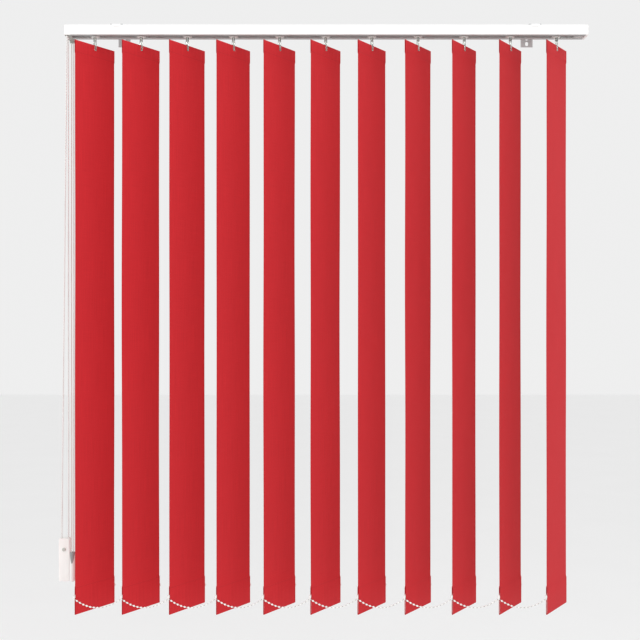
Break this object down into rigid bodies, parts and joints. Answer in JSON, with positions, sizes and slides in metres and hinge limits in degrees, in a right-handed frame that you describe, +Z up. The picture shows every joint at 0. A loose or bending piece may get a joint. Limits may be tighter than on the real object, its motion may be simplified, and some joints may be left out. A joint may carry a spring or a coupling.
{
  "type": "vertical blind",
  "caption": "Vertical blind: hanging fabric louvres on geared carriers in a slim wall-hung head rail, with a bead chain for tilt and a weighted draw cord.",
  "frame": {"origin": "midway between the two bracket screw holes, on the wall plane", "axes": "+X right along the rail, +Y into the wall, +Z up"},
  "size_m": [0.9147, 0.1008, 0.9992],
  "materials": {
    "white_rail": "satin white powder coat",
    "grey_plastic": "smooth moulded",
    "white_plastic": "smooth moulded",
    "bracket_steel": "pale grey enamel",
    "zinc_steel": "zinc plated",
    "draw_cord": "braided",
    "chain_plastic": "smooth beads",
    "rod_aluminium": "extruded",
    "carrier_plastic": "moulded acetal",
    "worm_plastic": "moulded acetal",
    "hook_plastic": "translucent",
    "red_fabric": "woven polyester, matte"
  },
  "bodies": {
    "rail": {"head_rail": "white_rail", "control_housing": "grey_plastic", "return_end_cap": "white_plastic", "wall_brackets": "bracket_steel", "bracket_clips": "white_rail", "fasteners": "zinc_steel", "draw_cord_run": "draw_cord", "draw_cord_falls": "draw_cord", "cord_weight": "white_plastic", "tilt_chain": "chain_plastic", "tensioner_housing": "white_plastic", "tensioner_cover": "white_plastic", "carrier_01": "carrier_plastic"},
    "tilt_drive": {"tilt_rod": "rod_aluminium", "chain_sprocket": "hook_plastic"},
    "tensioner_wheel": {"tensioner_wheel": "white_plastic"},
    "return_pulley": {"return_pulley": "white_plastic"},
    "carrier_02": {"carrier_02": "carrier_plastic"},
    "carrier_03": {"carrier_03": "carrier_plastic"},
    "carrier_04": {"carrier_04": "carrier_plastic"},
    "carrier_05": {"carrier_05": "carrier_plastic"},
    "carrier_06": {"carrier_06": "carrier_plastic"},
    "carrier_07": {"carrier_07": "carrier_plastic"},
    "carrier_08": {"carrier_08": "carrier_plastic"},
    "carrier_09": {"carrier_09": "carrier_plastic"},
    "carrier_10": {"carrier_10": "carrier_plastic"},
    "carrier_11": {"carrier_11": "carrier_plastic"},
    "louvre_01": {"louvre_01": "red_fabric"},
    "chain_clip_01": {"chain_clip_01": "chain_plastic"},
    "worm_01": {"worm_01": "worm_plastic"},
    "louvre_02": {"louvre_02": "red_fabric"},
    "chain_clip_02": {"chain_clip_02": "chain_plastic"},
    "worm_02": {"worm_02": "worm_plastic"},
    "louvre_03": {"louvre_03": "red_fabric"},
    "chain_clip_03": {"chain_clip_03": "chain_plastic"},
    "worm_03": {"worm_03": "worm_plastic"},
    "louvre_04": {"louvre_04": "red_fabric"},
    "chain_clip_04": {"chain_clip_04": "chain_plastic"},
    "worm_04": {"worm_04": "worm_plastic"},
    "louvre_05": {"louvre_05": "red_fabric"},
    "chain_clip_05": {"chain_clip_05": "chain_plastic"},
    "worm_05": {"worm_05": "worm_plastic"},
    "louvre_06": {"louvre_06": "red_fabric"},
    "chain_clip_06": {"chain_clip_06": "chain_plastic"},
    "worm_06": {"worm_06": "worm_plastic"},
    "louvre_07": {"louvre_07": "red_fabric"},
    "chain_clip_07": {"chain_clip_07": "chain_plastic"},
    "worm_07": {"worm_07": "worm_plastic"},
    "louvre_08": {"louvre_08": "red_fabric"},
    "chain_clip_08": {"chain_clip_08": "chain_plastic"},
    "worm_08": {"worm_08": "worm_plastic"},
    "louvre_09": {"louvre_09": "red_fabric"},
    "chain_clip_09": {"chain_clip_09": "chain_plastic"},
    "worm_09": {"worm_09": "worm_plastic"},
    "louvre_10": {"louvre_10": "red_fabric"},
    "chain_clip_10": {"chain_clip_10": "chain_plastic"},
    "worm_10": {"worm_10": "worm_plastic"},
    "louvre_11": {"louvre_11": "red_fabric"},
    "chain_clip_11": {"chain_clip_11": "chain_plastic"},
    "worm_11": {"worm_11": "worm_plastic"}
  },
  "joints": [
    {"name": "traverse", "type": "slide", "parent": "rail", "child": "carrier_11", "axis": [1, 0, 0], "range_m": [-0.62, 0]},
    {"name": "carrier_02_slide", "type": "slide", "parent": "rail", "child": "carrier_02", "axis": [1, 0, 0], "range_m": [-0.062, 0]},
    {"name": "carrier_03_slide", "type": "slide", "parent": "rail", "child": "carrier_03", "axis": [1, 0, 0], "range_m": [-0.124, 0]},
    {"name": "carrier_04_slide", "type": "slide", "parent": "rail", "child": "carrier_04", "axis": [1, 0, 0], "range_m": [-0.186, 0]},
    {"name": "carrier_05_slide", "type": "slide", "parent": "rail", "child": "carrier_05", "axis": [1, 0, 0], "range_m": [-0.248, 0]},
    {"name": "carrier_06_slide", "type": "slide", "parent": "rail", "child": "carrier_06", "axis": [1, 0, 0], "range_m": [-0.31, 0]},
    {"name": "carrier_07_slide", "type": "slide", "parent": "rail", "child": "carrier_07", "axis": [1, 0, 0], "range_m": [-0.372, 0]},
    {"name": "carrier_08_slide", "type": "slide", "parent": "rail", "child": "carrier_08", "axis": [1, 0, 0], "range_m": [-0.434, 0]},
    {"name": "carrier_09_slide", "type": "slide", "parent": "rail", "child": "carrier_09", "axis": [1, 0, 0], "range_m": [-0.496, 0]},
    {"name": "carrier_10_slide", "type": "slide", "parent": "rail", "child": "carrier_10", "axis": [1, 0, 0], "range_m": [-0.558, 0]},
    {"name": "tilt", "type": "hinge", "parent": "rail", "child": "louvre_01", "pos_m": [-0.395, -0.06, 0], "axis": [0, 0, 1], "range_deg": [-43.6, 112.4]},
    {"name": "clip_01_swivel", "type": "hinge", "parent": "louvre_01", "child": "chain_clip_01", "pos_m": [-0.42161, -0.09886, -0.96], "axis": [0, 0, 1], "range_deg": [-112.4, 43.6]},
    {"name": "worm_01_spin", "type": "hinge", "parent": "rail", "child": "worm_01", "pos_m": [-0.395, -0.0675, -0.0055], "axis": [1, 0, 0], "range_deg": [-436, 1124]},
    {"name": "louvre_02_tilt", "type": "hinge", "parent": "carrier_02", "child": "louvre_02", "pos_m": [-0.316, -0.06, 0], "axis": [0, 0, 1], "range_deg": [-43.6, 112.4]},
    {"name": "clip_02_swivel", "type": "hinge", "parent": "louvre_02", "child": "chain_clip_02", "pos_m": [-0.34261, -0.09886, -0.96], "axis": [0, 0, 1], "range_deg": [-112.4, 43.6]},
    {"name": "worm_02_spin", "type": "hinge", "parent": "carrier_02", "child": "worm_02", "pos_m": [-0.316, -0.0675, -0.0055], "axis": [1, 0, 0], "range_deg": [-436, 1124]},
    {"name": "louvre_03_tilt", "type": "hinge", "parent": "carrier_03", "child": "louvre_03", "pos_m": [-0.237, -0.06, 0], "axis": [0, 0, 1], "range_deg": [-43.6, 112.4]},
    {"name": "clip_03_swivel", "type": "hinge", "parent": "louvre_03", "child": "chain_clip_03", "pos_m": [-0.26361, -0.09886, -0.96], "axis": [0, 0, 1], "range_deg": [-112.4, 43.6]},
    {"name": "worm_03_spin", "type": "hinge", "parent": "carrier_03", "child": "worm_03", "pos_m": [-0.237, -0.0675, -0.0055], "axis": [1, 0, 0], "range_deg": [-436, 1124]},
    {"name": "louvre_04_tilt", "type": "hinge", "parent": "carrier_04", "child": "louvre_04", "pos_m": [-0.158, -0.06, 0], "axis": [0, 0, 1], "range_deg": [-43.6, 112.4]},
    {"name": "clip_04_swivel", "type": "hinge", "parent": "louvre_04", "child": "chain_clip_04", "pos_m": [-0.18461, -0.09886, -0.96], "axis": [0, 0, 1], "range_deg": [-112.4, 43.6]},
    {"name": "worm_04_spin", "type": "hinge", "parent": "carrier_04", "child": "worm_04", "pos_m": [-0.158, -0.0675, -0.0055], "axis": [1, 0, 0], "range_deg": [-436, 1124]},
    {"name": "louvre_05_tilt", "type": "hinge", "parent": "carrier_05", "child": "louvre_05", "pos_m": [-0.079, -0.06, 0], "axis": [0, 0, 1], "range_deg": [-43.6, 112.4]},
    {"name": "clip_05_swivel", "type": "hinge", "parent": "louvre_05", "child": "chain_clip_05", "pos_m": [-0.10561, -0.09886, -0.96], "axis": [0, 0, 1], "range_deg": [-112.4, 43.6]},
    {"name": "worm_05_spin", "type": "hinge", "parent": "carrier_05", "child": "worm_05", "pos_m": [-0.079, -0.0675, -0.0055], "axis": [1, 0, 0], "range_deg": [-436, 1124]},
    {"name": "louvre_06_tilt", "type": "hinge", "parent": "carrier_06", "child": "louvre_06", "pos_m": [0, -0.06, 0], "axis": [0, 0, 1], "range_deg": [-43.6, 112.4]},
    {"name": "clip_06_swivel", "type": "hinge", "parent": "louvre_06", "child": "chain_clip_06", "pos_m": [-0.02661, -0.09886, -0.96], "axis": [0, 0, 1], "range_deg": [-112.4, 43.6]},
    {"name": "worm_06_spin", "type": "hinge", "parent": "carrier_06", "child": "worm_06", "pos_m": [0, -0.0675, -0.0055], "axis": [1, 0, 0], "range_deg": [-436, 1124]},
    {"name": "louvre_07_tilt", "type": "hinge", "parent": "carrier_07", "child": "louvre_07", "pos_m": [0.079, -0.06, 0], "axis": [0, 0, 1], "range_deg": [-43.6, 112.4]},
    {"name": "clip_07_swivel", "type": "hinge", "parent": "louvre_07", "child": "chain_clip_07", "pos_m": [0.05239, -0.09886, -0.96], "axis": [0, 0, 1], "range_deg": [-112.4, 43.6]},
    {"name": "worm_07_spin", "type": "hinge", "parent": "carrier_07", "child": "worm_07", "pos_m": [0.079, -0.0675, -0.0055], "axis": [1, 0, 0], "range_deg": [-436, 1124]},
    {"name": "louvre_08_tilt", "type": "hinge", "parent": "carrier_08", "child": "louvre_08", "pos_m": [0.158, -0.06, 0], "axis": [0, 0, 1], "range_deg": [-43.6, 112.4]},
    {"name": "clip_08_swivel", "type": "hinge", "parent": "louvre_08", "child": "chain_clip_08", "pos_m": [0.13139, -0.09886, -0.96], "axis": [0, 0, 1], "range_deg": [-112.4, 43.6]},
    {"name": "worm_08_spin", "type": "hinge", "parent": "carrier_08", "child": "worm_08", "pos_m": [0.158, -0.0675, -0.0055], "axis": [1, 0, 0], "range_deg": [-436, 1124]},
    {"name": "louvre_09_tilt", "type": "hinge", "parent": "carrier_09", "child": "louvre_09", "pos_m": [0.237, -0.06, 0], "axis": [0, 0, 1], "range_deg": [-43.6, 112.4]},
    {"name": "clip_09_swivel", "type": "hinge", "parent": "louvre_09", "child": "chain_clip_09", "pos_m": [0.21039, -0.09886, -0.96], "axis": [0, 0, 1], "range_deg": [-112.4, 43.6]},
    {"name": "worm_09_spin", "type": "hinge", "parent": "carrier_09", "child": "worm_09", "pos_m": [0.237, -0.0675, -0.0055], "axis": [1, 0, 0], "range_deg": [-436, 1124]},
    {"name": "louvre_10_tilt", "type": "hinge", "parent": "carrier_10", "child": "louvre_10", "pos_m": [0.316, -0.06, 0], "axis": [0, 0, 1], "range_deg": [-43.6, 112.4]},
    {"name": "clip_10_swivel", "type": "hinge", "parent": "louvre_10", "child": "chain_clip_10", "pos_m": [0.28939, -0.09886, -0.96], "axis": [0, 0, 1], "range_deg": [-112.4, 43.6]},
    {"name": "worm_10_spin", "type": "hinge", "parent": "carrier_10", "child": "worm_10", "pos_m": [0.316, -0.0675, -0.0055], "axis": [1, 0, 0], "range_deg": [-436, 1124]},
    {"name": "louvre_11_tilt", "type": "hinge", "parent": "carrier_11", "child": "louvre_11", "pos_m": [0.395, -0.06, 0], "axis": [0, 0, 1], "range_deg": [-43.6, 112.4]},
    {"name": "clip_11_swivel", "type": "hinge", "parent": "louvre_11", "child": "chain_clip_11", "pos_m": [0.36839, -0.09886, -0.96], "axis": [0, 0, 1], "range_deg": [-112.4, 43.6]},
    {"name": "worm_11_spin", "type": "hinge", "parent": "carrier_11", "child": "worm_11", "pos_m": [0.395, -0.0675, -0.0055], "axis": [1, 0, 0], "range_deg": [-436, 1124]},
    {"name": "rod_spin", "type": "hinge", "parent": "rail", "child": "tilt_drive", "pos_m": [-0.4402, -0.0675, -0.0055], "axis": [1, 0, 0], "range_deg": [-436, 1124]},
    {"name": "tensioner_spin", "type": "hinge", "parent": "rail", "child": "tensioner_wheel", "pos_m": [-0.45935, -0.008, -0.94], "axis": [0, 1, 0], "range_deg": [-334.28, 861.74]},
    {"name": "pulley_spin", "type": "hinge", "parent": "rail", "child": "return_pulley", "pos_m": [0.434, -0.05, -0.0043], "axis": [0, 1, 0], "range_deg": [-7722.57, 0]}
  ],
  "couplings": [
    {"joint": "carrier_02_slide", "follows": "traverse", "ratio": 0.1},
    {"joint": "carrier_03_slide", "follows": "traverse", "ratio": 0.2},
    {"joint": "carrier_04_slide", "follows": "traverse", "ratio": 0.3},
    {"joint": "carrier_05_slide", "follows": "traverse", "ratio": 0.4},
    {"joint": "carrier_06_slide", "follows": "traverse", "ratio": 0.5},
    {"joint": "carrier_07_slide", "follows": "traverse", "ratio": 0.6},
    {"joint": "carrier_08_slide", "follows": "traverse", "ratio": 0.7},
    {"joint": "carrier_09_slide", "follows": "traverse", "ratio": 0.8},
    {"joint": "carrier_10_slide", "follows": "traverse", "ratio": 0.9},
    {"joint": "clip_01_swivel", "follows": "tilt", "ratio": -1},
    {"joint": "worm_01_spin", "follows": "tilt", "ratio": 10},
    {"joint": "louvre_02_tilt", "follows": "tilt", "ratio": 1},
    {"joint": "clip_02_swivel", "follows": "tilt", "ratio": -1},
    {"joint": "worm_02_spin", "follows": "tilt", "ratio": 10},
    {"joint": "louvre_03_tilt", "follows": "tilt", "ratio": 1},
    {"joint": "clip_03_swivel", "follows": "tilt", "ratio": -1},
    {"joint": "worm_03_spin", "follows": "tilt", "ratio": 10},
    {"joint": "louvre_04_tilt", "follows": "tilt", "ratio": 1},
    {"joint": "clip_04_swivel", "follows": "tilt", "ratio": -1},
    {"joint": "worm_04_spin", "follows": "tilt", "ratio": 10},
    {"joint": "louvre_05_tilt", "follows": "tilt", "ratio": 1},
    {"joint": "clip_05_swivel", "follows": "tilt", "ratio": -1},
    {"joint": "worm_05_spin", "follows": "tilt", "ratio": 10},
    {"joint": "louvre_06_tilt", "follows": "tilt", "ratio": 1},
    {"joint": "clip_06_swivel", "follows": "tilt", "ratio": -1},
    {"joint": "worm_06_spin", "follows": "tilt", "ratio": 10},
    {"joint": "louvre_07_tilt", "follows": "tilt", "ratio": 1},
    {"joint": "clip_07_swivel", "follows": "tilt", "ratio": -1},
    {"joint": "worm_07_spin", "follows": "tilt", "ratio": 10},
    {"joint": "louvre_08_tilt", "follows": "tilt", "ratio": 1},
    {"joint": "clip_08_swivel", "follows": "tilt", "ratio": -1},
    {"joint": "worm_08_spin", "follows": "tilt", "ratio": 10},
    {"joint": "louvre_09_tilt", "follows": "tilt", "ratio": 1},
    {"joint": "clip_09_swivel", "follows": "tilt", "ratio": -1},
    {"joint": "worm_09_spin", "follows": "tilt", "ratio": 10},
    {"joint": "louvre_10_tilt", "follows": "tilt", "ratio": 1},
    {"joint": "clip_10_swivel", "follows": "tilt", "ratio": -1},
    {"joint": "worm_10_spin", "follows": "tilt", "ratio": 10},
    {"joint": "louvre_11_tilt", "follows": "tilt", "ratio": 1},
    {"joint": "clip_11_swivel", "follows": "tilt", "ratio": -1},
    {"joint": "worm_11_spin", "follows": "tilt", "ratio": 10},
    {"joint": "rod_spin", "follows": "tilt", "ratio": 10},
    {"joint": "tensioner_spin", "follows": "tilt", "ratio": 7.6667},
    {"joint": "pulley_spin", "follows": "traverse", "rad_per_m": 217.39}
  ]
}
